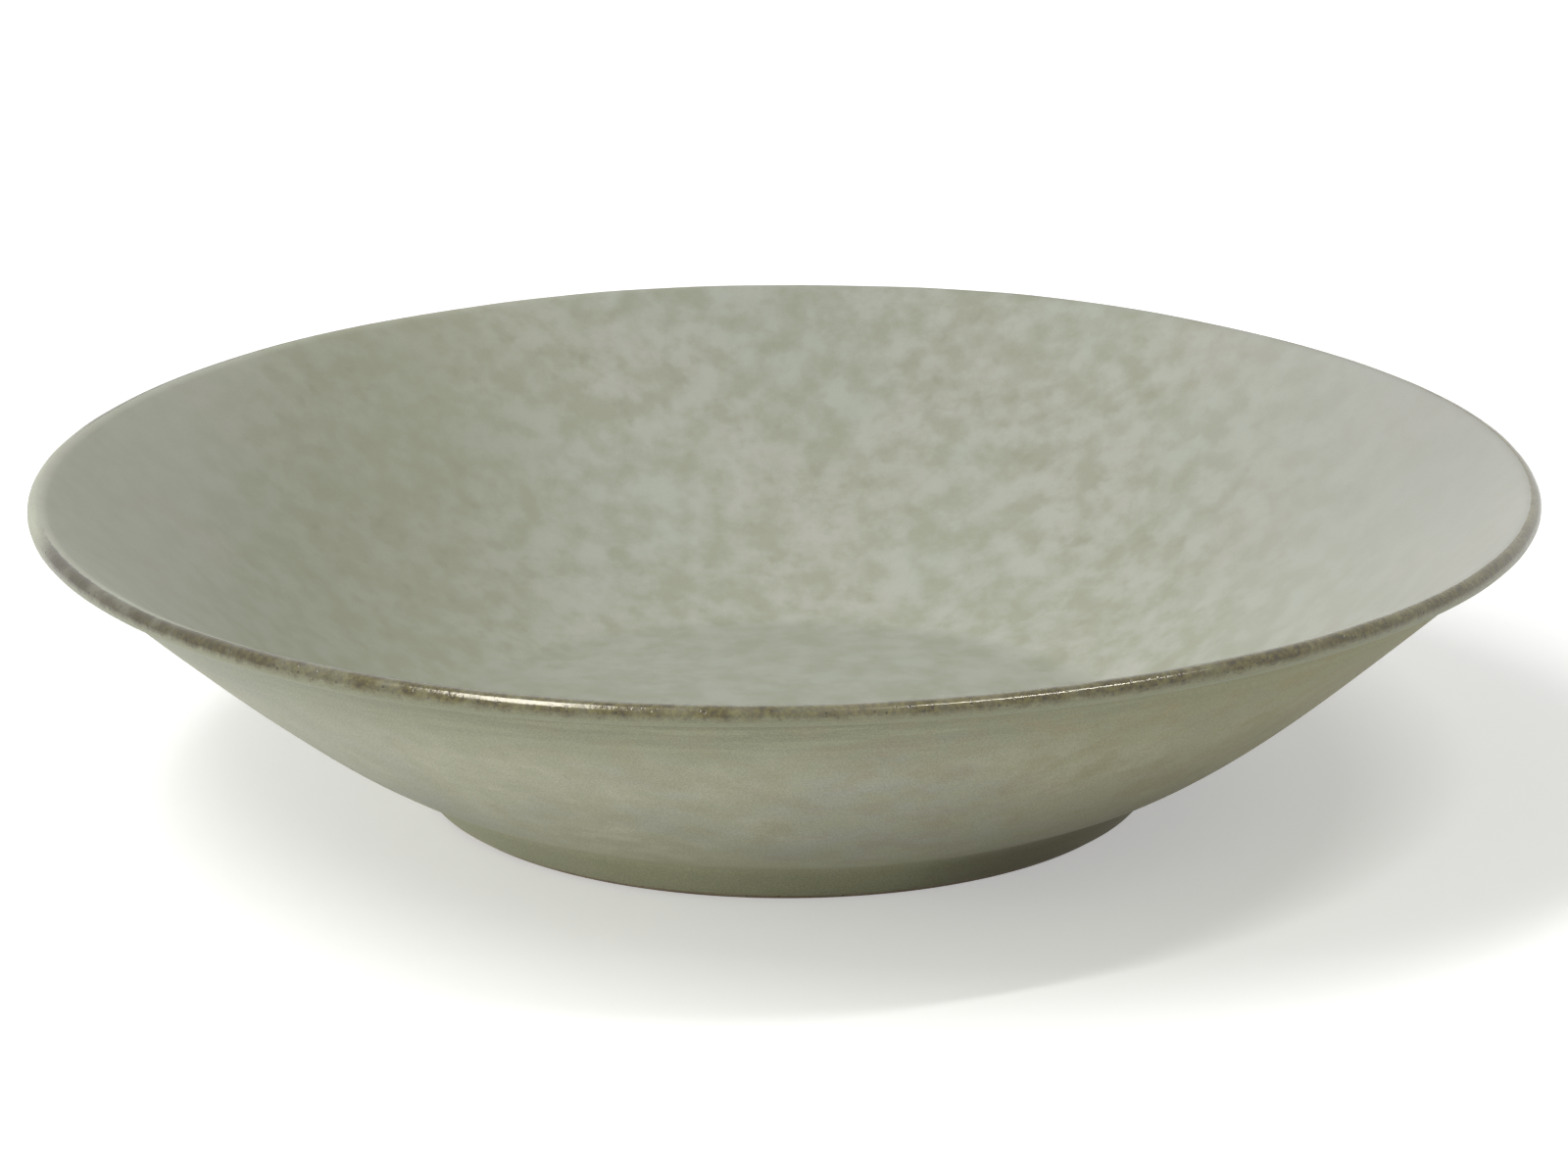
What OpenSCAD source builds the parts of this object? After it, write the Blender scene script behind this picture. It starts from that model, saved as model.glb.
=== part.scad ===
// Deep plate: a one-piece fired stoneware shell on a low foot ring, under four coats of glaze.
// The origin is on the table at the middle of the foot ring, and +Z is up.
// Sizes are millimetres, and those of the lip, wall and well are of the glazed surface that is seen.

/* [Lip] */
// Outside diameter of the plate, over the lip
rim_d = 225; // [205:1:245]
// Height of the plate, from the table to the top of the lip
plate_h = 48; // [43:0.5:54]
// Thickness of the round lip
lip_t = 2.9; // [2.5:0.1:3.4]
// How far the lip stands out past the outside of the wall
lip_proud = 1.25; // [0.9:0.05:1.5]
// Radius of the groove where the lip meets the outside of the wall
lip_groove_r = 1.1; // [0.8:0.1:1.8]
// Radius of the lip's shoulder on the inside
lip_shoulder_r = 2.6; // [2:0.1:4]

/* [Wall] */
// Slope of the outside of the wall at the lip, in degrees from level
wall_rim_slope = 42; // [38:1:46]
// Slope of the inside of the wall at the lip, in degrees from level
well_rim_slope = 38; // [34:1:42]
// Slope of the wall where it leaves the foot ring, in degrees from level
wall_foot_slope = 20; // [17:1:24]
// Thickness of the wall where it leaves the foot ring
wall_foot_t = 3.4; // [3:0.1:4.2]

/* [Well] */
// Thickness of the floor of the well
floor_t = 4.9; // [4:0.1:5.8]
// Radius of the soft bend from the floor of the well to the wall
well_bend_r = 14; // [8:1:20]

/* [Foot ring] */
// Outside diameter of the foot ring on the table
foot_d = 107; // [96:1:118]
// How far the foot ring widens from the table up to the wall
foot_flare = 6; // [5:0.1:7]
// Height from the table to the corner between the foot ring and the wall
foot_h = 6.9; // [6:0.1:8]
// Width of the foot ring on the table
foot_w = 5; // [4:0.1:7]
// Slope of the inside of the foot ring, in degrees from level
foot_inner_slope = 65; // [50:1:80]
// Radius of the soft corner between the foot ring and the wall
foot_corner_r = 5; // [3:0.1:6]
// Radius of the rounded edges that the foot ring stands on
foot_edge_r = 0.9; // [0.5:0.1:1.2]
// Depth of the recess inside the foot ring
recess_h = 3; // [2.2:0.1:3.8]
// Radius of the soft corner round the recess
recess_corner_r = 1.8; // [1:0.1:2.5]

/* [Glaze] */
// Thickness of the glaze coats
glaze_t = 0.35; // [0.2:0.05:0.5]
// Height of bare clay left between the foot ring's rounded edges and the glaze
bare_h = 0.4; // [0.2:0.05:0.8]

/* [Hidden] */

// Steps along each kind of stretch of the outline, and faces round the plate
bend_steps = 6;
lip_steps = 18;
wall_steps = 22;
$fn = 144;

// How far the ends of each wall curve pull it, as shares of the curve's span: at the foot, then at the lip
outside_pull_shares = [0.23, 0.33];
inside_pull_shares = [0.3, 0.26];

// Lip: its middle, and how far the line of the wall's outside passes below that middle
lip_r = lip_t / 2;
lip_mid = [rim_d / 2 - lip_r, plate_h - lip_r];
wall_below_mid = lip_r - lip_proud;

// Groove under the lip: it touches the wall's line and the round of the lip
groove_run = sqrt(pow(lip_r + lip_groove_r, 2) - pow(lip_groove_r + wall_below_mid, 2));
groove_foot = lip_mid + wall_below_mid * dir(wall_rim_slope - 90) - groove_run * dir(wall_rim_slope);
groove_mid = groove_foot + lip_groove_r * dir(wall_rim_slope - 90);
groove_end_facing = atan2(groove_mid[1] - lip_mid[1], groove_mid[0] - lip_mid[0]);

// Foot ring: its outside leans out by this slope, up to its corner with the wall
foot_slope = atan2(foot_h, foot_flare);
foot_corner = [foot_d / 2 + foot_flare, foot_h];
foot_inner_r = foot_d / 2 - foot_w;
recess_corner = [foot_inner_r - recess_h / tan(foot_inner_slope), recess_h];

// Well: the wall's inside runs down to the floor and would meet it at this corner
floor_h = recess_h + floor_t;
well_side = foot_corner + wall_foot_t * dir(wall_foot_slope + 90);
well_corner = [well_side[0] - (well_side[1] - floor_h) / tan(wall_foot_slope), floor_h];

// Rounded edges under the foot ring: where their middles lie, and where the bare clay ends
outer_edge_mid = [foot_d / 2 - edge_inset(foot_slope), foot_edge_r];
inner_edge_mid = [foot_inner_r + edge_inset(foot_inner_slope), foot_edge_r];
outer_bare_h = foot_edge_r * (1 - cos(foot_slope)) + bare_h;
inner_bare_h = foot_edge_r * (1 - cos(foot_inner_slope)) + bare_h;

// How far a rounded edge's middle lies inside the glazed face above it, at the table
function edge_inset(slope) = (foot_edge_r * (1 - cos(slope)) + glaze_t) / sin(slope);

// A unit step at an angle
function dir(a) = [cos(a), sin(a)];

// A spot on the outline: its radius, its height and the angle that the surface faces
function spot(p, facing) = [p[0], p[1], facing];

// An arc by the angles that its surface faces; a hollow arc has its middle outside the clay
function arc(mid, r, from, to, steps) =
    [for (i = [0 : steps]) let (a = from + (to - from) * i / steps) spot(mid + r * dir(a), a)];
function hollow_arc(mid, r, from, to) = arc(mid, -r, from, to, bend_steps);

// The middle of a hollow arc that rounds a corner between two faces
function bend_mid(corner, r, from, to) = corner + r / cos((to - from) / 2) * dir((from + to) / 2);

// A smooth curve that leaves one point and reaches another at given headings
function curve_point(p, t) =
    pow(1 - t, 3) * p[0] + 3 * t * pow(1 - t, 2) * p[1] + 3 * pow(t, 2) * (1 - t) * p[2] + pow(t, 3) * p[3];
function curve_step(p, t) =
    pow(1 - t, 2) * (p[1] - p[0]) + 2 * t * (1 - t) * (p[2] - p[1]) + pow(t, 2) * (p[3] - p[2]);
function heading(v) = atan2(v[1], v[0]);
function curve(start, start_heading, end, end_heading, pull_shares) =
    let (span = norm(end - start),
         p = [start, start + pull_shares[0] * span * dir(start_heading),
              end - pull_shares[1] * span * dir(end_heading), end])
    [for (i = [0 : wall_steps]) let (t = i / wall_steps) spot(curve_point(p, t), heading(curve_step(p, t)) - 90)];

// Lists without their first or last item, or turned round
function tail(l) = [for (i = [1 : len(l) - 1]) l[i]];
function head(l) = [for (i = [0 : len(l) - 2]) l[i]];
function turned(l) = [for (i = [len(l) - 1 : -1 : 0]) l[i]];

// The glazed face of a path, and the clay under it
function glazed(path) = [for (s = path) [s[0], s[1]]];
function clay(path) = [for (s = path) [s[0], s[1]] - glaze_t * dir(s[2])];

// Outside: up the foot ring from where the glaze starts, up the wall and round the groove under the lip
foot_corner_mid = bend_mid(foot_corner, foot_corner_r, foot_slope - 90, wall_foot_slope - 90);
foot_corner_arc = hollow_arc(foot_corner_mid, foot_corner_r, foot_slope - 90, wall_foot_slope - 90);
glaze_start = [foot_d / 2 + outer_bare_h / tan(foot_slope), outer_bare_h];
wall_start = foot_corner_arc[bend_steps];
outside_path = concat(
    [spot(glaze_start, foot_slope - 90)],
    [spot(glaze_start + glaze_t * dir(foot_slope), foot_slope - 90)],
    foot_corner_arc,
    tail(curve([wall_start[0], wall_start[1]], wall_foot_slope, groove_foot, wall_rim_slope, outside_pull_shares)),
    tail(hollow_arc(groove_mid, lip_groove_r, wall_rim_slope - 90, groove_end_facing)));

// Lip: from the groove, out round the edge and up to its top
lip_path = arc(lip_mid, lip_r, groove_end_facing, 90, lip_steps);

// Inside: over the lip's shoulder, down the wall and along the floor to the middle
shoulder_mid = lip_mid + (lip_r - lip_shoulder_r) * dir(90);
shoulder_arc = arc(shoulder_mid, lip_shoulder_r, 90, 90 + well_rim_slope, bend_steps);
shoulder_end = shoulder_arc[bend_steps];
well_bend_mid = bend_mid(well_corner, well_bend_r, 90 + wall_foot_slope, 90);
well_bend = hollow_arc(well_bend_mid, well_bend_r, 90 + wall_foot_slope, 90);
well_wall = turned([for (s = curve([well_bend[0][0], well_bend[0][1]], wall_foot_slope,
                                   [shoulder_end[0], shoulder_end[1]], well_rim_slope, inside_pull_shares))
                    spot(s, s[2] + 180)]);
inside_path = concat(
    shoulder_arc,
    tail(well_wall),
    tail(well_bend),
    [[0, floor_h, 90]]);

// Underneath: out along the recess and down the inside of the foot ring to where the glaze ends
recess_corner_mid = bend_mid(recess_corner, recess_corner_r, -90, -90 - foot_inner_slope);
glaze_end = [foot_inner_r - inner_bare_h / tan(foot_inner_slope), inner_bare_h];
base_path = concat(
    [[0, recess_h, -90]],
    hollow_arc(recess_corner_mid, recess_corner_r, -90, -90 - foot_inner_slope),
    [spot(glaze_end - glaze_t * dir(-foot_inner_slope), -90 - foot_inner_slope)],
    [spot(glaze_end, -90 - foot_inner_slope)]);

// The bare clay that the plate stands on: both rounded edges and the flat between them
standing_path = concat(
    arc(inner_edge_mid, foot_edge_r, -90 - foot_inner_slope, -90, bend_steps),
    arc(outer_edge_mid, foot_edge_r, -90, foot_slope - 90, bend_steps));

// A coat of glaze, between the clay and its own face
module coat(clay_points, face_points) {
    rotate_extrude()
        polygon(concat(face_points, turned(clay_points)));
}

module clay_body() {
    color("#c9b79c")
    rotate_extrude()
        polygon(concat(glazed(standing_path), clay(outside_path), clay(tail(lip_path)),
                       clay(tail(inside_path)), clay(base_path)));
}

module inner_glaze() {
    color("#a7ab9f")
    coat(clay(inside_path), glazed(inside_path));
}

module rim_glaze() {
    color("#7d7a66")
    coat(clay(lip_path), glazed(lip_path));
}

module outer_glaze() {
    color("#8f9384")
    coat(clay(outside_path), glazed(tail(outside_path)));
}

module base_glaze() {
    color("#999c8c")
    coat(clay(base_path), glazed(head(base_path)));
}

clay_body();
inner_glaze();
rim_glaze();
outer_glaze();
base_glaze();
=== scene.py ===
import bmesh
import bpy
import numpy as np
from mathutils import Matrix, Vector


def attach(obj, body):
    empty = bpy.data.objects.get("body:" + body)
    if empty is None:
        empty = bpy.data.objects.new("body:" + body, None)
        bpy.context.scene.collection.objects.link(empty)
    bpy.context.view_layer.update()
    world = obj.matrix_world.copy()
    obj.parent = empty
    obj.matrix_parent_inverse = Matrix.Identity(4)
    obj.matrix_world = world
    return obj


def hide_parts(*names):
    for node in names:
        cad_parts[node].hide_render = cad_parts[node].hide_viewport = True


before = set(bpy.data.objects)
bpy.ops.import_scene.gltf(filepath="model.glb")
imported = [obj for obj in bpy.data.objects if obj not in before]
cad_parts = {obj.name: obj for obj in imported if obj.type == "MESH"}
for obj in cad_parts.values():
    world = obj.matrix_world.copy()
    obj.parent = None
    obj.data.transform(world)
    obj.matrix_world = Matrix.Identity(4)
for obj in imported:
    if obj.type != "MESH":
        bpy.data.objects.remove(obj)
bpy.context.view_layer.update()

MM = 0.001

# Sizes of the plate in millimetres, as in the part's source
RIM_D = 225.0
PLATE_H = 48.0
LIP_T = 2.9
LIP_PROUD = 1.25
LIP_GROOVE_R = 1.1
LIP_SHOULDER_R = 2.6
WALL_RIM_SLOPE = 42.0
WELL_RIM_SLOPE = 38.0
WALL_FOOT_SLOPE = 20.0
WALL_FOOT_T = 3.4
FLOOR_T = 4.9
WELL_BEND_R = 14.0
FOOT_D = 107.0
FOOT_FLARE = 6.0
FOOT_H = 6.9
FOOT_W = 5.0
FOOT_INNER_SLOPE = 65.0
FOOT_CORNER_R = 5.0
FOOT_EDGE_R = 0.9
RECESS_H = 3.0
RECESS_CORNER_R = 1.8
GLAZE_T = 0.35
BARE_H = 0.4
OUTSIDE_PULLS = (0.23, 0.33)
INSIDE_PULLS = (0.3, 0.26)

# How the lip moved in the kiln, as up-and-down waves round the plate: (waves, cosine and sine part in mm)
LIP_WARP = ((1, 0.58, 0.0), (2, -0.39, -0.29), (3, -0.22, -0.15))
# How far it slipped along x, in mm, and how steeply both movements grow towards it
LIP_SLIP = -0.35
WARP_GROWTH = 1.5

# Mesh: faces round the plate, and the spacing of rings along the outline in mm
ROUND_FACES = 720
WALL_SPACING = 1.6
BEND_SPACING = 0.16
FOOT_SPACING = 0.8
# Rings round a coat's rolled edge, and the angle in degrees from which a bend shows as an edge
ROLL_RINGS = 7
EDGE_ANGLE = 50
# Points on the plate's axis that are this close, in mm, are one
SAME_POINT = 0.01

# Hills and hollows left by the wheel, the pressing and the kiln: (size across, height) in mm
RELIEF = ((34.0, 0.10), (9.0, 0.025))
# Each is a sum of this many waves, which differ in length by these factors
WAVES = 16
WAVE_FACTORS = (0.7, 1.4)
FIRST_SEED = 10


# Outline: rows of radius, height and the angle that the surface faces

def step(angle):
    a = np.radians(angle)
    return np.stack([np.cos(a), np.sin(a)], axis=-1)


def arc(mid, radius, start, end, spacing=BEND_SPACING):
    """An arc by the angles that its surface faces. A hollow arc has a negative radius."""
    count = max(3, int(np.ceil(abs(radius * np.radians(end - start)) / spacing)))
    facing = np.linspace(start, end, count + 1)
    return np.column_stack([mid + radius * step(facing), facing])


def bend(corner, radius, start, end):
    """A hollow arc that rounds the corner between two faces."""
    mid = corner + radius / np.cos(np.radians(end - start) / 2) * step((start + end) / 2)
    return arc(mid, -radius, start, end)


def line(start, end, facing, spacing=WALL_SPACING):
    count = max(1, int(np.ceil(np.linalg.norm(end - start) / spacing)))
    share = np.linspace(0, 1, count + 1)[:, None]
    return np.column_stack([start + share * (end - start), np.full(count + 1, facing)])


def curve(start, start_heading, end, end_heading, pulls):
    """A smooth curve that leaves one point and reaches another at given headings."""
    span = np.linalg.norm(end - start)
    a = start + pulls[0] * span * step(start_heading)
    b = end - pulls[1] * span * step(end_heading)
    t = np.linspace(0, 1, int(np.ceil(span / WALL_SPACING)) + 1)[:, None]
    points = (1 - t)**3 * start + 3 * t * (1 - t)**2 * a + 3 * t**2 * (1 - t) * b + t**3 * end
    way = (1 - t)**2 * (a - start) + 2 * t * (1 - t) * (b - a) + t**2 * (end - b)
    return np.column_stack([points, np.degrees(np.arctan2(way[:, 1], way[:, 0])) - 90])


def joined(*paths):
    """Paths end to end, each shared point once."""
    return np.vstack([paths[0]] + [p[1:] for p in paths[1:]])


def sunk(path):
    """The clay under a stretch of glaze."""
    clay = path.copy()
    clay[:, :2] -= GLAZE_T * step(path[:, 2])
    return clay


def thinned(path, every=4):
    """Every fourth ring and the last, for faces that nobody sees and bends so wide that fewer rings do."""
    return path[sorted({*range(0, len(path), every), len(path) - 1})]


lip_r = LIP_T / 2
lip_mid = np.array([RIM_D / 2 - lip_r, PLATE_H - lip_r])
wall_below_mid = lip_r - LIP_PROUD
groove_run = np.sqrt((lip_r + LIP_GROOVE_R)**2 - (LIP_GROOVE_R + wall_below_mid)**2)
groove_foot = lip_mid + wall_below_mid * step(WALL_RIM_SLOPE - 90) - groove_run * step(WALL_RIM_SLOPE)
groove_mid = groove_foot + LIP_GROOVE_R * step(WALL_RIM_SLOPE - 90)
groove_end_facing = np.degrees(np.arctan2(groove_mid[1] - lip_mid[1], groove_mid[0] - lip_mid[0]))

foot_slope = np.degrees(np.arctan2(FOOT_H, FOOT_FLARE))
foot_corner = np.array([FOOT_D / 2 + FOOT_FLARE, FOOT_H])
foot_inner_r = FOOT_D / 2 - FOOT_W
floor_h = RECESS_H + FLOOR_T
well_side = foot_corner + WALL_FOOT_T * step(WALL_FOOT_SLOPE + 90)
well_run = (well_side[1] - floor_h) / np.tan(np.radians(WALL_FOOT_SLOPE))
well_corner = np.array([well_side[0] - well_run, floor_h])
recess_run = RECESS_H / np.tan(np.radians(FOOT_INNER_SLOPE))
recess_corner = np.array([foot_inner_r - recess_run, RECESS_H])


def edge_rise(slope):
    """How high a rounded edge under the foot ring reaches."""
    return FOOT_EDGE_R * (1 - np.cos(np.radians(slope)))


def edge_inset(slope):
    """How far a rounded edge's middle lies inside the glazed face above it, at the table."""
    return (edge_rise(slope) + GLAZE_T) / np.sin(np.radians(slope))


def glaze_end(foot_r, slope, lean):
    """Where a coat ends on a side of the foot ring. lean is 1 if the side leans outward, else -1."""
    rise = edge_rise(slope) + BARE_H
    return np.array([foot_r + lean * rise / np.tan(np.radians(slope)), rise])


def rolled(path, turn):
    """The path, its start rolled down to the clay. turn is 1 if it runs anticlockwise, else -1."""
    facing = path[0, 2] - turn * np.linspace(90, 0, ROLL_RINGS)
    mid = sunk(path)[0, :2] + GLAZE_T * step(path[0, 2] + 90 * turn)
    edge = np.column_stack([mid + GLAZE_T * step(facing), facing, np.full(len(facing), path[0, 3])])
    return np.vstack([edge, path[1:]])


# Up the outside, over the lip and down the inside
outer_bend = bend(foot_corner, FOOT_CORNER_R, foot_slope - 90, WALL_FOOT_SLOPE - 90)
outer_path = joined(
    line(glaze_end(FOOT_D / 2, foot_slope, 1), outer_bend[0, :2], foot_slope - 90, FOOT_SPACING),
    outer_bend,
    curve(outer_bend[-1, :2], WALL_FOOT_SLOPE, groove_foot, WALL_RIM_SLOPE, OUTSIDE_PULLS),
    arc(groove_mid, -LIP_GROOVE_R, WALL_RIM_SLOPE - 90, groove_end_facing))
lip_path = arc(lip_mid, lip_r, groove_end_facing, 90)
shoulder = arc(lip_mid + (lip_r - LIP_SHOULDER_R) * step(90), LIP_SHOULDER_R, 90, 90 + WELL_RIM_SLOPE)
well_bend = thinned(bend(well_corner, WELL_BEND_R, 90 + WALL_FOOT_SLOPE, 90))
inner_path = joined(
    shoulder,
    curve(shoulder[-1, :2], 180 + WELL_RIM_SLOPE,
          well_bend[0, :2], 180 + WALL_FOOT_SLOPE, INSIDE_PULLS[::-1]),
    well_bend,
    line(well_bend[-1, :2], np.array([0.0, floor_h]), 90))

# Underneath, and the bare clay that the plate stands on
recess_bend = bend(recess_corner, RECESS_CORNER_R, -90, -90 - FOOT_INNER_SLOPE)
base_path = joined(
    line(np.array([0.0, RECESS_H]), recess_bend[0, :2], -90),
    recess_bend,
    line(recess_bend[-1, :2], glaze_end(foot_inner_r, FOOT_INNER_SLOPE, -1),
         -90 - FOOT_INNER_SLOPE, FOOT_SPACING))
inner_edge_mid = np.array([foot_inner_r + edge_inset(FOOT_INNER_SLOPE), FOOT_EDGE_R])
outer_edge_mid = np.array([FOOT_D / 2 - edge_inset(foot_slope), FOOT_EDGE_R])
standing_path = np.vstack([
    arc(inner_edge_mid, FOOT_EDGE_R, -90 - FOOT_INNER_SLOPE, -90),
    arc(outer_edge_mid, FOOT_EDGE_R, -90, foot_slope - 90)])

# A fourth column: how far each ring is from the lip's top along the outline, above 0 on the outside.
# Underneath, each counts as farther from it than any ring outside, so what shows at the lip stays there.
glazed_path = joined(outer_path, lip_path, inner_path)
coat_ends = [0, len(outer_path) - 1, len(outer_path) + len(lip_path) - 2, len(glazed_path) - 1]
along = np.append(0, np.cumsum(np.linalg.norm(np.diff(glazed_path[:, :2], axis=0), axis=1)))
glazed_path = np.column_stack([glazed_path, along[coat_ends[2]] - along])
outer_path, lip_path, inner_path = (glazed_path[a:b + 1] for a, b in zip(coat_ends, coat_ends[1:]))
base_path = np.column_stack([base_path, np.full(len(base_path), along[-1])])
standing_path = np.column_stack([standing_path, np.full(len(standing_path), along[-1])])


# Meshes

LIP_RUN = "lip_run"


def lip_share(radius):
    """How much of the lip's movement in the kiln reaches there: nothing at the foot ring, 1 at the lip."""
    return np.clip((radius - foot_corner[0]) / (lip_mid[0] - foot_corner[0]), 0, 1)**WARP_GROWTH


def lip_lift(radius, angle):
    return lip_share(radius) * sum(c * np.cos(n * angle) + s * np.sin(n * angle) for n, c, s in LIP_WARP)


def hills(place, size, seed):
    """Soft hills and hollows of about this size in mm, mostly from -1 to 1."""
    rng = np.random.default_rng(seed)
    total = 0
    for _ in range(WAVES):
        way = rng.normal(size=3)
        way *= np.pi / (size * rng.uniform(*WAVE_FACTORS)) / np.linalg.norm(way)
        total = total + np.sin(place @ way + rng.uniform(0, 2 * np.pi))
    return total / np.sqrt(WAVES)


def turned(name, outline):
    """A closed solid turned from its outline, whose fourth column is the distance to the lip's top."""
    angle = np.arange(ROUND_FACES) * 2 * np.pi / ROUND_FACES
    radius = np.broadcast_to(outline[:, :1], (len(outline), ROUND_FACES))
    height = np.broadcast_to(outline[:, 1:2], radius.shape)
    place = np.stack([radius * np.cos(angle), radius * np.sin(angle), height], axis=2)
    raised = sum(rise * hills(place, size, FIRST_SEED + n) for n, (size, rise) in enumerate(RELIEF))
    # The foot ring stands flat, so the relief fades towards the table
    raised *= np.clip(height / FOOT_H, 0, 1)
    out = step(outline[:, 2])
    radius = np.where(outline[:, :1] > 0, radius + raised * out[:, :1], 0)
    height = height + raised * out[:, 1:] + lip_lift(radius, angle)
    across = radius * np.cos(angle) + LIP_SLIP * lip_share(radius)
    points = np.stack([across, radius * np.sin(angle), height], axis=2).reshape(-1, 3) * MM

    rings = np.arange(len(points)).reshape(radius.shape)
    here = np.arange(len(outline))
    after = np.roll(here, -1)
    skin = (outline[here, 0] > 0) | (outline[after, 0] > 0)
    here, after = rings[here[skin]], rings[after[skin]]
    corners = [here, np.roll(here, -1, axis=1), np.roll(after, -1, axis=1), after]
    faces = np.stack(corners, axis=2).reshape(-1, 4)
    mesh = bpy.data.meshes.new(name)
    mesh.from_pydata(points, [], faces)
    run = np.repeat(outline[:, 3], ROUND_FACES).astype(np.float32)
    mesh.attributes.new(LIP_RUN, "FLOAT", "POINT").data.foreach_set("value", run)

    solid = bmesh.new()
    solid.from_mesh(mesh)
    solid.verts.ensure_lookup_table()
    on_axis = [solid.verts[i] for i in rings[outline[:, 0] <= 0].ravel()]
    bmesh.ops.remove_doubles(solid, verts=on_axis, dist=SAME_POINT * MM)
    bmesh.ops.recalc_face_normals(solid, faces=solid.faces)
    solid.to_mesh(mesh)
    solid.free()
    mesh.shade_smooth()
    mesh.set_sharp_from_angle(angle=np.radians(EDGE_ANGLE))
    piece = bpy.data.objects.new(name, mesh)
    bpy.context.scene.collection.objects.link(piece)
    return piece


def coat(name, face, path):
    """A coat of glaze: its outer face, and the clay's path under it."""
    return turned(name, np.vstack([face, sunk(thinned(path))[::-1]]))


clay_path = np.vstack([
    sunk(thinned(base_path)), standing_path, sunk(thinned(outer_path)), sunk(thinned(lip_path))[1:],
    sunk(thinned(inner_path))[1:]])
clay_body = turned("clay_body_fired", clay_path)
inner_coat = coat("inner_glaze_coat", inner_path, inner_path)
rim_coat = coat("rim_glaze_coat", lip_path, lip_path)
outer_coat = coat("outer_glaze_coat", rolled(outer_path, 1), outer_path)
base_coat = coat("base_glaze_coat", rolled(base_path[::-1], -1)[::-1], base_path)


# Materials

def linear(code):
    """A linear colour from an sRGB hex code."""
    parts = [int(code[i:i + 2], 16) / 255 for i in (1, 3, 5)]
    return tuple(c / 12.92 if c <= 0.04045 else ((c + 0.055) / 1.055)**2.4 for c in parts) + (1.0,)


def material(name):
    made = bpy.data.materials.new(name)
    made.use_nodes = True
    made.node_tree.nodes.clear()
    return made


def node(tree, kind, inputs=None, out=0, **settings):
    """Adds a node with its settings and gives one of its outputs. Inputs take values or other outputs."""
    made = tree.nodes.new("ShaderNode" + kind)
    for name, value in settings.items():
        setattr(made, name, value)
    for name, value in (inputs or {}).items():
        if isinstance(value, bpy.types.NodeSocket):
            tree.links.new(value, made.inputs[name])
        else:
            made.inputs[name].default_value = value
    return made.outputs[out] if made.outputs else made


# Settings that several nodes share
SOFT = {"interpolation_type": "SMOOTHSTEP"}
PLUS = {"operation": "ADD"}
LESS = {"operation": "SUBTRACT"}
TIMES = {"operation": "MULTIPLY"}
PLUS_TIMES = {"operation": "MULTIPLY_ADD"}
SCALED = {"operation": "SCALE"}
SMOOTH_NOISE = {"Detail": 2.0, "Roughness": 0.5}
RAGGED_NOISE = {"Detail": 3.0, "Roughness": 0.6}

WHITE = linear("#FFFFFF")

# Glaze colours inside
SAGE = linear("#AEAFA3")
SAGE_BLUE = linear("#ABAFA2")
OLIVE = linear("#94957F")
OLIVE_SPOT = linear("#878870")
PALE_GREY = linear("#ABAAA5")
POOLED_SAGE = linear("#8E9182")

# Glaze colours outside, with painted light at the left and painted shade at the right, in the crease and
# above the table
WARM_SAGE = linear("#C0C0AA")
GREEN_SAGE = linear("#AEAF94")
COOL_LIT_SAGE = linear("#A3A69C")
UNDER_LIP_OLIVE = linear("#8A8D75")
RIGHT_SHADE_OLIVE = linear("#918D61")
LIT_LOW_OLIVE = linear("#C6C69E")
CLAY_TINT = linear("#A09377")
PAINTED_SHADE_GREEN = linear("#7A7E62")
PAINTED_SHADE_UMBER = linear("#716A46")

# Colours of the iron break on the lip, and the warm tint of its gloss
UMBER = linear("#2A240C")
IRON_BROWN = linear("#463E14")
IRON_OLIVE = linear("#605B2C")
PIT = linear("#1C180C")
WARM_GLOSS = linear("#FFF9E9")

# Fired clay's colours
CLAY_DARK = linear("#A08F78")
CLAY_PALE = linear("#B5A68E")
IRON_SPECK = linear("#4A3A2A")

# Sizes of what shows in the glaze, in mm
BLOOM_MM = 30.0
CLOUD_MM = 5.0
SPOT_MM = 3.0
STREAK_MM = 2.4
STREAK_LENGTH_MM = 25.0
TINT_MM = 6.0
WANDER_MM = 2.4
STRENGTH_MM = 5.0
PATCH_MM = 0.9
PIT_GAP_MM = 1.15
PIT_MM = 0.4
SKIN_MM = 0.7
PEEL_MM = 3.0
GLAZE_RELIEF_MM = 0.03
# The glaze's crystals are about 0.05 mm across. That is too fine to show, so they are drawn coarser.
GRAIN_MM = 0.25

# Sizes of what shows in the clay, in mm
CLAY_TONE_MM = 6.0
SPECK_GAP_MM = 1.1
SAND_MM = 0.35
CLAY_RELIEF_MM = 0.05

# Where a pattern's value brings a change in, where the change is whole, and how far it goes
SECOND_GROUND = {"From Min": 0.4, "From Max": 0.62}
NOISE_SPREAD = {"From Min": 0.3, "From Max": 0.7}
SPOTS = {"From Min": 0.5, "From Max": 0.85}
SPOTS_CROWD = {"From Min": 0.62, "From Max": 0.42, "To Min": 0.1, "To Max": 0.4}
STREAKS = {"From Min": 0.4, "From Max": 0.75, "To Max": 0.5}
CLAY_SHOWS = {"From Min": 0.42, "From Max": 0.66}
BREAK_HOLDS = {"From Min": 0.35, "From Max": 0.6, "To Min": 0.75, "To Max": 1.0}
UMBER_TO_BROWN = {"From Min": 0.33, "From Max": 0.48}
BROWN_TO_OLIVE = {"From Min": 0.46, "From Max": 0.62}
IRON_SPECKS = {"From Min": 0.2, "From Max": 0.12, "To Max": 0.8}

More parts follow.
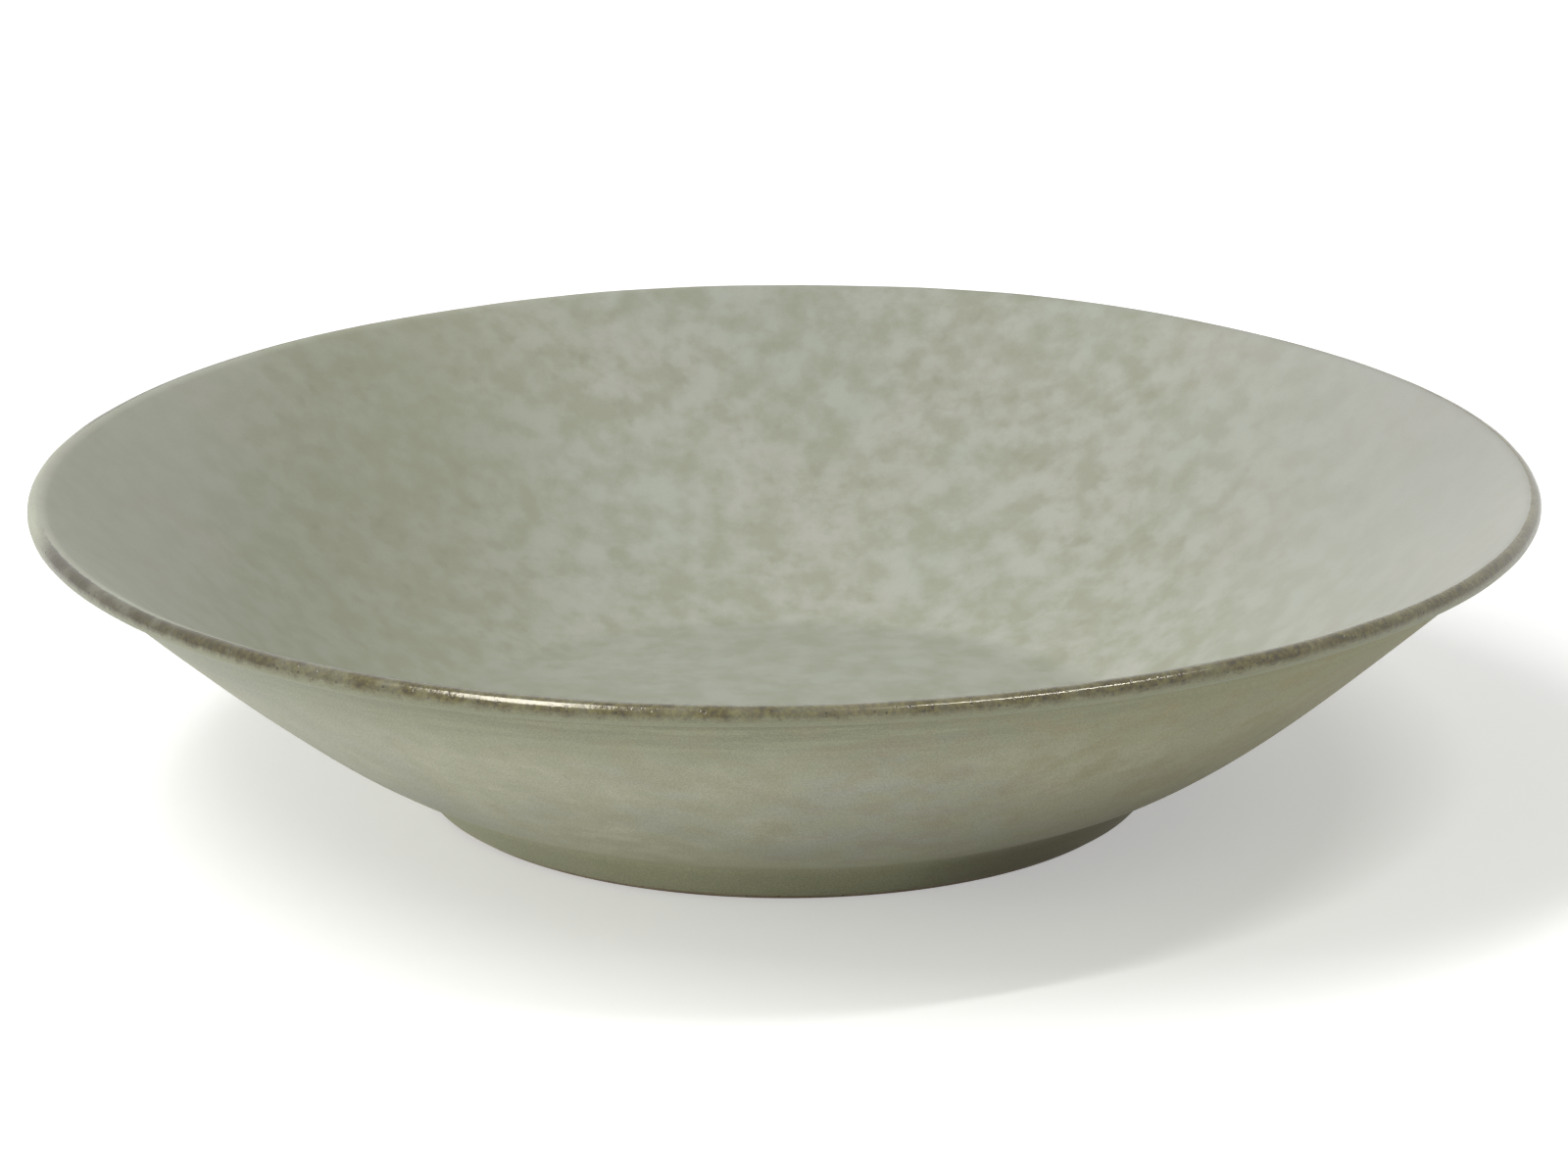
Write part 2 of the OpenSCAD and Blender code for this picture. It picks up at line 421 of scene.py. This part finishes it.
# The grain's darkest and lightest tones inside, outside and on the bare clay
INSIDE_GRAIN = {"To Min": 0.98, "To Max": 1.02}
OUTSIDE_GRAIN = {"To Min": 0.86, "To Max": 1.14}
CLAY_GRAIN = {"To Min": 0.9, "To Max": 1.08}

# How strongly the clouds, the crease's painted shade, the foot ring's painted shade and the painted shade at
# the right show, from 0 to 1
INSIDE_MOTTLE = 0.7
OUTSIDE_MOTTLE = 0.7
CREASE_SHADE = 0.8
FOOT_SHADE = 0.25
RIGHT_SHADE_STRENGTH = 0.55

# Changes across the inside, by x in mm: quieter at both ends, olive left of the middle as painted shade
# where the wall faces away from the light, grey at the right as a painted sheen
QUIET_LEFT = {"From Min": -97.0, "From Max": -72.0, "To Min": 0.3, "To Max": 1.0}
QUIET_RIGHT = {"From Min": 100.0, "From Max": 50.0, "To Min": 0.4, "To Max": 1.0}
SHADED_LEFT = {"From Min": -25.0, "From Max": -60.0, "To Max": 0.55}
GREY_SHEEN_RIGHT = {"From Min": 55.0, "From Max": 105.0, "To Max": 0.6}
# Darker towards the lip at the back right
BACK_RIGHT = (0.6, 0.8, 0.0)
DARKER_BACK_RIGHT = {"From Min": 45.0, "From Max": 95.0, "To Min": 1.0, "To Max": 0.86}
# On the floor of the well, and up to a mm above it, the coat is thicker
POOLED_FLOOR = {"From Min": floor_h + 1.0, "From Max": floor_h + 0.1, "To Max": 0.4}

# Changes down the outside, in mm from the lip's top along the outline
# Where the crease's painted shade lies, and where the wall darkens towards the lip
CREASE_AT = 4.2
DARKER_UNDER_LIP = {"From Min": 30.0, "From Max": 5.0}
CREASE_STARTS = {"From Min": CREASE_AT - 3.2, "From Max": CREASE_AT - 1.4}
CREASE_ENDS = {"From Min": CREASE_AT + 5.0, "From Max": CREASE_AT}
# By height above the table, in mm: painted light low on the wall, and painted shade above the table and on
# the foot ring
LOW_ON_WALL = {"From Min": 15.0, "From Max": 5.0}
NEAR_TABLE_SHADE = {"From Min": 19.0, "From Max": 6.0}
FOOT_FACE = {"From Min": FOOT_H + 0.3, "From Max": FOOT_H - 2.3}

# Changes round the outside, from -1 at the plate's left to 1 at its right. Under the plate, the distance
# from its middle counts as at least this many mm, so that the colours meet softly there.
REACH_FROM_MM = 53.0
# Painted shade at the right, away from the light, and painted light at the left
SHADE_TOWARDS_RIGHT = {"From Min": 0.1, "From Max": 0.8}
COOL_LIGHT_LEFT = {"From Min": -0.3, "From Max": -0.8, "To Max": 0.4}
LIT_LOW_LEFT = {"From Min": 0.15, "From Max": 0.6, "To Min": 0.55, "To Max": 0.15}
SHADE_LOW_RIGHT = {"From Min": 0.15, "From Max": 0.65, "To Max": 0.7}
# By x in mm: clay patches show more towards the right, as painted shade
CLAY_AND_SHADE_RIGHT = {"From Min": -60.0, "From Max": 70.0, "To Min": 0.1, "To Max": 0.55}

# The iron break over the lip, in mm outward from the lip's top. It starts further in at the very front.
FRONT_START = -1.15
BREAK_START = -0.05
START_BY_DEPTH = {"From Min": -112.0, "From Max": -60.0, "To Min": FRONT_START, "To Max": BREAK_START}
START_WANDERS = 0.4
START_EDGE = {"From Min": -0.12, "From Max": 0.12}
BREAK_END = 2.35
END_WANDERS = 1.5
END_EDGE = {"From Min": BREAK_END + 0.7, "From Max": BREAK_END - 0.6}
PITS_FROM = 1.1
PITS_EDGE = {"From Min": PITS_FROM - 0.5, "From Max": PITS_FROM}
# A pit's radius and its soft edge, as shares of the gap between pits
PIT_R = PIT_MM / 2 / PIT_GAP_MM
PIT_EDGE = {"From Min": PIT_R + 0.05, "From Max": PIT_R - 0.05}
# By x in mm: it fades out at the plate's left and a little at its right, and has more umber at the left
BREAK_LEFT = {"From Min": -110.5, "From Max": -105.0}
BREAK_RIGHT = {"From Min": 111.5, "From Max": 100.0, "To Min": 0.85, "To Max": 1.0}
UMBER_LEFT = {"From Min": -45.0, "From Max": -105.0, "To Max": 0.85}
# Its roughness, and how high its patches and the glaze's fine skin stand, as shares of the glaze's relief
BREAK_ROUGHNESS = 0.12
PATCH_RISE = 1.2
SKIN_RISE = 0.5


def in_mm(tree):
    """The place of each point of the piece, in mm."""
    place = node(tree, "TexCoord", out="Object")
    return node(tree, "VectorMath", {0: place, "Scale": 1 / MM}, **SCALED)


def clouded(tree, mm, bloom, pale, second, dark, mottle):
    """A ground colour that drifts to a second one, under soft dark clouds."""
    share = node(tree, "MapRange", {"Value": bloom, **SECOND_GROUND}, **SOFT)
    ground = node(tree, "MixRGB", {"Fac": share, "Color1": pale, "Color2": second})
    clouds = node(tree, "TexNoise", {"Vector": mm, "Scale": 1 / CLOUD_MM, "Detail": 3.0, "Roughness": 0.5})
    share = node(tree, "MapRange", {"Value": clouds, **NOISE_SPREAD, "To Max": mottle}, **SOFT)
    return node(tree, "MixRGB", {"Fac": share, "Color1": ground, "Color2": dark})


def grained(tree, mm, colour, tones):
    """The fine grain of a surface dulled by crystals or sand."""
    grain = node(tree, "TexNoise", {"Vector": mm, "Scale": 1 / GRAIN_MM, "Detail": 1.0, "Roughness": 0.5})
    tone = node(tree, "MapRange", {"Value": grain, **NOISE_SPREAD, **tones}, **SOFT)
    return node(tree, "VectorMath", {0: colour, "Scale": tone}, **SCALED)


def inside_colour(tree, mm, _run):
    """Pale sage under close soft olive clouds and a few spots, all fainter towards the left and right."""
    x, z = (node(tree, "SeparateXYZ", {"Vector": mm}, out=axis) for axis in "XZ")
    left = node(tree, "MapRange", {"Value": x, **QUIET_LEFT}, **SOFT)
    right = node(tree, "MapRange", {"Value": x, **QUIET_RIGHT}, **SOFT)
    close = node(tree, "Math", {0: left, 1: right}, **TIMES)
    mottle = node(tree, "Math", {0: close, 1: INSIDE_MOTTLE}, **TIMES)
    bloom = node(tree, "TexNoise", {"Vector": mm, "Scale": 1 / BLOOM_MM, **SMOOTH_NOISE})
    colour = clouded(tree, mm, bloom, SAGE, SAGE_BLUE, OLIVE, mottle)
    # Painted shade: olive on the left wall, which faces away from the light
    warmer = node(tree, "MapRange", {"Value": x, **SHADED_LEFT}, **SOFT)
    warmer = node(tree, "Math", {0: warmer, 1: left}, **TIMES)
    colour = node(tree, "MixRGB", {"Fac": warmer, "Color1": colour, "Color2": OLIVE})

    # Spots, crowded in some stretches and few in others
    spots = node(tree, "TexNoise", {"Vector": mm, "Scale": 1 / SPOT_MM, "Detail": 2.0, "Roughness": 0.45})
    spots = node(tree, "MapRange", {"Value": spots, **SPOTS}, **SOFT)
    crowd = node(tree, "MapRange", {"Value": bloom, **SPOTS_CROWD}, **SOFT)
    for share in (crowd, close):
        spots = node(tree, "Math", {0: spots, 1: share}, **TIMES)
    colour = node(tree, "MixRGB", {"Fac": spots, "Color1": colour, "Color2": OLIVE_SPOT})

    # Greyer at the right as a painted sheen, darker towards the lip at the back right, and thick on the
    # floor of the well
    greyer = node(tree, "MapRange", {"Value": x, **GREY_SHEEN_RIGHT}, **SOFT)
    colour = node(tree, "MixRGB", {"Fac": greyer, "Color1": colour, "Color2": PALE_GREY})
    back_right = node(tree, "VectorMath", {0: mm, 1: BACK_RIGHT}, out="Value", operation="DOT_PRODUCT")
    tone = node(tree, "MapRange", {"Value": back_right, **DARKER_BACK_RIGHT}, **SOFT)
    colour = node(tree, "VectorMath", {0: colour, "Scale": tone}, **SCALED)
    darker = node(tree, "MapRange", {"Value": z, **POOLED_FLOOR}, **SOFT)
    colour = node(tree, "MixRGB", {"Fac": darker, "Color1": colour, "Color2": POOLED_SAGE})
    return grained(tree, mm, colour, INSIDE_GRAIN)


def outside_colour(tree, mm, run):
    """Warmer sage, olive towards the lip, level streaks, painted light at the left, and painted shade at the
    right, in the crease and above the table.
    """
    x, y, z = (node(tree, "SeparateXYZ", {"Vector": mm}, out=axis) for axis in "XYZ")
    bloom = node(tree, "TexNoise", {"Vector": mm, "Scale": 1 / BLOOM_MM, **SMOOTH_NOISE})
    colour = clouded(tree, mm, bloom, WARM_SAGE, SAGE, GREEN_SAGE, OUTSIDE_MOTTLE)
    # Darker olive towards the lip
    under_lip = node(tree, "MapRange", {"Value": run, **DARKER_UNDER_LIP}, **SOFT)
    colour = node(tree, "MixRGB", {"Fac": under_lip, "Color1": colour, "Color2": UNDER_LIP_OLIVE})

    # Streaks from the wheel: noise drawn out round the plate
    across = node(tree, "Math", {0: x, 1: 1 / STREAK_LENGTH_MM}, **TIMES)
    deep = node(tree, "Math", {0: y, 1: 1 / STREAK_LENGTH_MM}, **TIMES)
    down = node(tree, "Math", {0: run, 1: 1 / STREAK_MM}, **TIMES)
    level = node(tree, "CombineXYZ", {"X": across, "Y": deep, "Z": down})
    streaks = node(tree, "TexNoise", {"Vector": level, "Scale": 1.0, **RAGGED_NOISE})
    streaks = node(tree, "MapRange", {"Value": streaks, **STREAKS}, **SOFT)
    colour = node(tree, "MixRGB", {"Fac": streaks, "Color1": colour, "Color2": GREEN_SAGE})

    # Clay that shows through, more of it towards the right as painted shade
    tints = node(tree, "TexNoise", {"Vector": mm, "Scale": 1 / TINT_MM, **RAGGED_NOISE})
    tints = node(tree, "MapRange", {"Value": tints, **CLAY_SHOWS}, **SOFT)
    right = node(tree, "MapRange", {"Value": x, **CLAY_AND_SHADE_RIGHT}, **SOFT)
    tints = node(tree, "Math", {0: tints, 1: right}, **TIMES)
    colour = node(tree, "MixRGB", {"Fac": tints, "Color1": colour, "Color2": CLAY_TINT})

    # Painted shade: warmer and darker at the right, away from the light. Painted light: cooler at the left
    reach = node(tree, "VectorMath", {0: mm}, out="Value", operation="LENGTH")
    reach = node(tree, "Math", {0: reach, 1: REACH_FROM_MM}, operation="MAXIMUM")
    side = node(tree, "Math", {0: x, 1: reach}, operation="DIVIDE")
    warmer = node(tree, "MapRange", {"Value": side, **SHADE_TOWARDS_RIGHT}, **SOFT)
    share = node(tree, "Math", {0: warmer, 1: RIGHT_SHADE_STRENGTH}, **TIMES)
    colour = node(tree, "MixRGB", {"Fac": share, "Color1": colour, "Color2": RIGHT_SHADE_OLIVE})
    cooler = node(tree, "MapRange", {"Value": side, **COOL_LIGHT_LEFT}, **SOFT)
    colour = node(tree, "MixRGB", {"Fac": cooler, "Color1": colour, "Color2": COOL_LIT_SAGE})

    # Painted shade in the crease under the lip
    crease = CREASE_SHADE
    for edge in (CREASE_STARTS, CREASE_ENDS):
        share = node(tree, "MapRange", {"Value": run, **edge}, **SOFT)
        crease = node(tree, "Math", {0: share, 1: crease}, **TIMES)
    colour = node(tree, "MixRGB", {"Fac": crease, "Color1": colour, "Color2": PAINTED_SHADE_GREEN})

    # Painted light: a paler band low on the wall, most at the left. Painted shade above the table and on the
    # foot ring, darkest at the right
    low = node(tree, "MapRange", {"Value": z, **LOW_ON_WALL}, **SOFT)
    paler = node(tree, "MapRange", {"Value": side, **LIT_LOW_LEFT}, **SOFT)
    share = node(tree, "Math", {0: low, 1: paler}, **TIMES)
    colour = node(tree, "MixRGB", {"Fac": share, "Color1": colour, "Color2": LIT_LOW_OLIVE})
    low_right = node(tree, "MapRange", {"Value": side, **SHADE_LOW_RIGHT}, **SOFT)
    near_table = node(tree, "MapRange", {"Value": z, **NEAR_TABLE_SHADE}, **SOFT)
    share = node(tree, "Math", {0: near_table, 1: low_right}, **TIMES)
    foot = node(tree, "MapRange", {"Value": z, **FOOT_FACE}, **SOFT)
    share = node(tree, "Math", {0: foot, 1: FOOT_SHADE, 2: share}, **PLUS_TIMES)
    darker = node(tree, "MixRGB", {"Fac": warmer, "Color1": PAINTED_SHADE_GREEN, "Color2": PAINTED_SHADE_UMBER})
    colour = node(tree, "MixRGB", {"Fac": share, "Color1": colour, "Color2": darker})
    return grained(tree, mm, colour, OUTSIDE_GRAIN)


def break_cover(tree, mm, run):
    """How much of the glaze has broken to iron: up to 1 between the break's wandering start and end."""
    x, y = (node(tree, "SeparateXYZ", {"Vector": mm}, out=axis) for axis in "XY")
    wander = node(tree, "TexNoise", {"Vector": mm, "Scale": 1 / WANDER_MM, **RAGGED_NOISE})
    shift = node(tree, "MapRange", {"Value": wander, "To Min": -0.5, "To Max": 0.5})
    start = node(tree, "MapRange", {"Value": y, **START_BY_DEPTH}, **SOFT)
    past_start = node(tree, "Math", {0: run, 1: start}, **LESS)
    past_start = node(tree, "Math", {0: shift, 1: START_WANDERS, 2: past_start}, **PLUS_TIMES)
    to_end = node(tree, "Math", {0: shift, 1: END_WANDERS, 2: run}, **PLUS_TIMES)
    strength = node(tree, "TexNoise", {"Vector": mm, "Scale": 1 / STRENGTH_MM, **SMOOTH_NOISE})
    broken = node(tree, "MapRange", {"Value": strength, **BREAK_HOLDS}, **SOFT)
    for value, edge in ((past_start, START_EDGE), (to_end, END_EDGE), (x, BREAK_LEFT), (x, BREAK_RIGHT)):
        share = node(tree, "MapRange", {"Value": value, **edge}, **SOFT)
        broken = node(tree, "Math", {0: broken, 1: share}, **TIMES)
    return broken


def iron_colour(tree, mm, patches):
    """Umber, brown and olive patches, with more umber at the left."""
    share = node(tree, "MapRange", {"Value": patches, **UMBER_TO_BROWN}, **SOFT)
    iron = node(tree, "MixRGB", {"Fac": share, "Color1": UMBER, "Color2": IRON_BROWN})
    share = node(tree, "MapRange", {"Value": patches, **BROWN_TO_OLIVE}, **SOFT)
    iron = node(tree, "MixRGB", {"Fac": share, "Color1": iron, "Color2": IRON_OLIVE})
    x = node(tree, "SeparateXYZ", {"Vector": mm}, out="X")
    share = node(tree, "MapRange", {"Value": x, **UMBER_LEFT}, **SOFT)
    return node(tree, "MixRGB", {"Fac": share, "Color1": iron, "Color2": UMBER})


def glaze(name, ground, roughness, ior, lustre):
    """A glaze over iron-bearing clay: ground colour, the iron break on the lip, skin and gloss."""
    made = material(name)
    tree = made.node_tree
    mm = in_mm(tree)
    run = node(tree, "Attribute", attribute_name=LIP_RUN, out="Fac")
    colour = ground(tree, mm, run)
    broken = break_cover(tree, mm, run)
    patches = node(tree, "TexNoise", {"Vector": mm, "Scale": 1 / PATCH_MM, "Detail": 4.0, "Roughness": 0.65})
    iron = iron_colour(tree, mm, patches)
    colour = node(tree, "MixRGB", {"Fac": broken, "Color1": colour, "Color2": iron})

    # Pits along the break's outer half
    cells = node(tree, "TexVoronoi", {"Vector": mm, "Scale": 1 / PIT_GAP_MM, "Randomness": 1.0})
    pits = node(tree, "MapRange", {"Value": cells, **PIT_EDGE}, **SOFT)
    outer_half = node(tree, "MapRange", {"Value": run, **PITS_EDGE}, **SOFT)
    for share in (broken, outer_half):
        pits = node(tree, "Math", {0: pits, 1: share}, **TIMES)
    colour = node(tree, "MixRGB", {"Fac": pits, "Color1": colour, "Color2": PIT})

    # Orange-peel skin all over, and the break's rough patches and pits
    skin = node(tree, "TexNoise", {"Vector": mm, "Scale": 1 / SKIN_MM, **SMOOTH_NOISE})
    peel = node(tree, "TexNoise", {"Vector": mm, "Scale": 1 / PEEL_MM, **SMOOTH_NOISE})
    height = node(tree, "Math", {0: skin, 1: SKIN_RISE, 2: peel}, **PLUS_TIMES)
    rough = node(tree, "Math", {0: patches, 1: broken}, **TIMES)
    height = node(tree, "Math", {0: rough, 1: PATCH_RISE, 2: height}, **PLUS_TIMES)
    height = node(tree, "Math", {0: height, 1: pits}, **LESS)
    normal = node(tree, "Bump", {"Height": height, "Distance": GLAZE_RELIEF_MM * MM, "Strength": 1.0})
    gloss = node(tree, "MapRange", {"Value": broken, "To Min": roughness, "To Max": BREAK_ROUGHNESS})
    shader = node(tree, "BsdfPrincipled", {
        "Base Color": colour, "Roughness": gloss, "Normal": normal, "IOR": ior, "Specular Tint": lustre})
    node(tree, "OutputMaterial", {"Surface": shader})
    return made


def stoneware():
    """Bare fired clay with fine sand and iron specks."""
    made = material("stoneware_pressed_and_fired")
    tree = made.node_tree
    mm = in_mm(tree)
    tone = node(tree, "TexNoise", {"Vector": mm, "Scale": 1 / CLAY_TONE_MM, "Detail": 4.0, "Roughness": 0.6})
    share = node(tree, "MapRange", {"Value": tone, **NOISE_SPREAD}, **SOFT)
    colour = node(tree, "MixRGB", {"Fac": share, "Color1": CLAY_DARK, "Color2": CLAY_PALE})
    specks = node(tree, "TexVoronoi", {"Vector": mm, "Scale": 1 / SPECK_GAP_MM, "Randomness": 1.0})
    share = node(tree, "MapRange", {"Value": specks, **IRON_SPECKS}, **SOFT)
    colour = node(tree, "MixRGB", {"Fac": share, "Color1": colour, "Color2": IRON_SPECK})
    colour = grained(tree, mm, colour, CLAY_GRAIN)
    sand = node(tree, "TexNoise", {"Vector": mm, "Scale": 1 / SAND_MM, "Detail": 2.0, "Roughness": 0.6})
    normal = node(tree, "Bump", {"Height": sand, "Distance": CLAY_RELIEF_MM * MM, "Strength": 1.0})
    shader = node(tree, "BsdfPrincipled", {
        "Base Color": colour, "Roughness": 0.85, "Normal": normal, "IOR": 1.5})
    node(tree, "OutputMaterial", {"Surface": shader})
    return made


def dress(piece, made, node_name):
    piece.data.materials.append(made)
    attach(piece, "root")
    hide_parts(node_name)


# Stoneware, pressed and wiped with a sponge: matt and dry, a warm buff with dark specks
dress(clay_body, stoneware(), "clay_body")

# A glaze is a glass, so its index starts from 1.5. Index and roughness were then matched to the plate.
# Reactive glaze, sprayed inside and fired: satin, so the eye gets its mottled colour and hardly a reflection
inside = glaze("reactive_glaze_inside_fired", inside_colour, roughness=0.62, ior=1.45, lustre=WHITE)
dress(inner_coat, inside, "inner_glaze")

# The same glaze run thin over the lip: broken to pitted brown iron, glossy, so a lamp draws a bright line
lip = glaze("iron_break_glaze_lip_fired", outside_colour, roughness=0.4, ior=1.8, lustre=WARM_GLOSS)
dress(rim_coat, lip, "rim_glaze")

# A thinner coat outside: satin, with level streaks, the clay's warmth showing through, and painted light and
# shade
outside = glaze("reactive_glaze_outside_fired", outside_colour, roughness=0.55, ior=1.38, lustre=WHITE)
dress(outer_coat, outside, "outer_glaze")

# The same coat under the plate, thick and even in the recess
under = glaze("reactive_glaze_under_fired", outside_colour, roughness=0.55, ior=1.38, lustre=WHITE)
dress(base_coat, under, "base_glaze")


# Floor, light and camera

def seen_itself(tree):
    """1 where the camera, a reflection or glass shows the surface, and 0 where it only lights another."""
    rays = ("Is Camera Ray", "Is Glossy Ray", "Is Transmission Ray")
    by_camera, by_gloss, through = (node(tree, "LightPath", out=ray) for ray in rays)
    seen = node(tree, "Math", {0: by_camera, 1: by_gloss}, **PLUS)
    return node(tree, "Math", {0: seen, 1: through}, **PLUS, use_clamp=True)


FLOOR_SIZE = 6.0
FLOOR_GLOW = 0.4
half = FLOOR_SIZE / 2
floor_mesh = bpy.data.meshes.new("studio_floor")
floor_corners = [(-half, -half, 0), (half, -half, 0), (half, half, 0), (-half, half, 0)]
floor_mesh.from_pydata(floor_corners, [], [(0, 1, 2, 3)])
floor = bpy.data.objects.new("studio_floor", floor_mesh)
bpy.context.scene.collection.objects.link(floor)

# Coated paper from a roll: matt white, with the plate's soft shadow on it
paper = material("white_paper_floor")
tree = paper.node_tree
glow = node(tree, "Math", {0: seen_itself(tree), 1: FLOOR_GLOW}, **TIMES)
shader = node(tree, "BsdfPrincipled", {
    "Base Color": linear("#E8E8E6"), "Roughness": 0.9, "Emission Color": WHITE, "Emission Strength": glow})
node(tree, "OutputMaterial", {"Surface": shader})
floor_mesh.materials.append(paper)

# The studio's pale walls, each with its brightness straight ahead, and a large soft panel low at the left
LEFT_WALL = 0.66
FRONT_WALL = 0.3
BACK_WALL = 0.42
PANEL_TOWARDS = Vector((-0.95, -0.25, 0.12)).normalized()
PANEL = {"From Min": 0.8, "From Max": 0.97, "To Max": 1.5}
world = bpy.data.worlds.new("studio")
bpy.context.scene.world = world
world.use_nodes = True
tree = world.node_tree
tree.nodes.clear()
aim = node(tree, "TexCoord", out="Generated")
x, y = (node(tree, "SeparateXYZ", {"Vector": aim}, out=axis) for axis in "XY")
studio = node(tree, "MapRange", {"Value": x, "From Min": 0.0, "From Max": -1.0, "To Max": LEFT_WALL})
for ahead, wall in ((-1.0, FRONT_WALL), (1.0, BACK_WALL)):
    share = node(tree, "MapRange", {"Value": y, "From Min": 0.0, "From Max": ahead, "To Max": wall})
    studio = node(tree, "Math", {0: studio, 1: share}, **PLUS)
facing = node(tree, "VectorMath", {0: aim, 1: PANEL_TOWARDS}, out="Value", operation="DOT_PRODUCT")
panel = node(tree, "MapRange", {"Value": facing, **PANEL}, **SOFT)
studio = node(tree, "Math", {0: studio, 1: panel}, **PLUS)
strength = node(tree, "MapRange", {"Value": seen_itself(tree), "To Min": studio, "To Max": 1.0})
background = node(tree, "Background", {"Color": WHITE, "Strength": strength})
node(tree, "OutputWorld", {"Surface": background})


LAMP_DISTANCE = 2.2


def softbox(name, towards, along, width, height, power):
    """A soft lamp in one direction from the plate, with its width along another. Sizes are in metres."""
    light = bpy.data.lights.new(name, "AREA")
    light.shape = "RECTANGLE"
    light.size = width
    light.size_y = height
    light.energy = power
    out = Vector(towards).normalized()
    side = (Vector(along) - out * out.dot(Vector(along))).normalized()
    turn = Matrix((side, out.cross(side), out)).transposed().to_4x4()
    made = bpy.data.objects.new(name, light)
    made.matrix_world = Matrix.Translation(out * LAMP_DISTANCE) @ turn
    bpy.context.scene.collection.objects.link(made)


softbox("overhead_strip", (-0.43, -0.22, 0.88), (1.0, -0.28, 0.0), width=0.5, height=1.6, power=28.0)
softbox("right_strip", (0.38, -0.21, 0.90), (0.36, 0.22, -0.11), width=1.0, height=0.08, power=11.0)

# The camera's lens and sensor in mm, its place in metres, and its tilt in degrees up from straight down
LENS = 157.5
SENSOR = 36.0
CAMERA_AT = (-0.00035, -0.984, 0.334)
CAMERA_TILT = 72.858
camera = bpy.data.objects.new("camera", bpy.data.cameras.new("camera"))
camera.data.lens = LENS
camera.data.sensor_width = SENSOR
camera.location = CAMERA_AT
camera.rotation_euler = (np.radians(CAMERA_TILT), 0.0, 0.0)
bpy.context.scene.collection.objects.link(camera)
bpy.context.scene.camera = camera
bpy.context.scene.view_settings.view_transform = "Standard"
